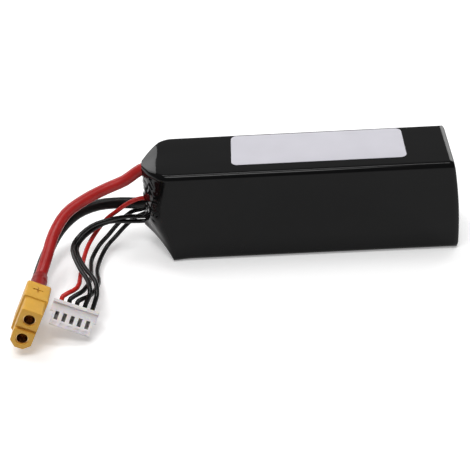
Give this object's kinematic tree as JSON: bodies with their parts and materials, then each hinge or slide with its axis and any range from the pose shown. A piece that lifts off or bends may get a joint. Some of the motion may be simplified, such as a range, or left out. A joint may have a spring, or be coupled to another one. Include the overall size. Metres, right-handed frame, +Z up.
{
  "type": "lithium polymer battery pack",
  "caption": "Long rectangular battery pack in glossy shrink wrap, with a power plug and a smaller balance plug on flexible leads.",
  "frame": {"origin": "middle of the wrapped pack's footprint, on the surface that the pack stands on", "axes": "+X along the pack towards its closed end, with the leads leaving at -X; +Y across the pack's thickness; +Z up"},
  "size_m": [0.1462, 0.0683, 0.0347],
  "materials": {
    "wrap_film": "glossy black heat-shrunk film",
    "label_film": "blank satin label",
    "cell_pouch": "dull aluminium laminate pouch",
    "aluminium_tab": "bare aluminium foil strip",
    "nickel_tab": "nickel-plated copper strip",
    "double_sided_tape": "thin double-sided tape",
    "band_tape": "amber polyimide tape",
    "foam": "soft black foam",
    "insulating_film": "pale insulating sheet",
    "board_laminate": "green glass-fibre laminate",
    "solder": "bright solder",
    "red_silicone": "satin red silicone jacket",
    "black_silicone": "satin black silicone jacket",
    "red_sleeve": "satin red shrink sleeve",
    "black_sleeve": "satin black shrink sleeve",
    "red_wire_jacket": "glossy red silicone jacket",
    "black_wire_jacket": "glossy black silicone jacket",
    "yellow_nylon": "satin amber-yellow moulded nylon",
    "gold_plated_brass": "gold-plated brass",
    "white_nylon": "white moulded nylon",
    "tinned_bronze": "tin-plated sheet metal"
  },
  "bodies": {
    "root": {"shrink_wrap": "wrap_film", "rating_label": "label_film", "cell_1": "cell_pouch", "cell_2": "cell_pouch", "cell_3": "cell_pouch", "cell_4": "cell_pouch", "positive_tab_1": "aluminium_tab", "positive_tab_2": "aluminium_tab", "positive_tab_3": "aluminium_tab", "positive_tab_4": "aluminium_tab", "negative_tab_1": "nickel_tab", "negative_tab_2": "nickel_tab", "negative_tab_3": "nickel_tab", "negative_tab_4": "nickel_tab", "cell_tape_1": "double_sided_tape", "cell_tape_2": "double_sided_tape", "cell_tape_3": "double_sided_tape", "stack_bands": "band_tape", "end_pad": "foam", "insulating_sheet": "insulating_film", "connection_board": "board_laminate", "lead_solder_joints": "solder", "balance_solder_joints": "solder", "positive_lead": "red_silicone", "negative_lead": "black_silicone", "positive_sleeve": "red_sleeve", "negative_sleeve": "black_sleeve", "balance_wire_1": "red_wire_jacket", "balance_wire_2": "black_wire_jacket", "balance_wire_3": "black_wire_jacket", "balance_wire_4": "black_wire_jacket", "balance_wire_5": "black_wire_jacket", "power_plug_housing": "yellow_nylon", "positive_socket": "gold_plated_brass", "negative_socket": "gold_plated_brass", "positive_cup_solder": "solder", "negative_cup_solder": "solder", "balance_plug_housing": "white_nylon", "balance_contacts": "tinned_bronze"}
  },
  "joints": []
}
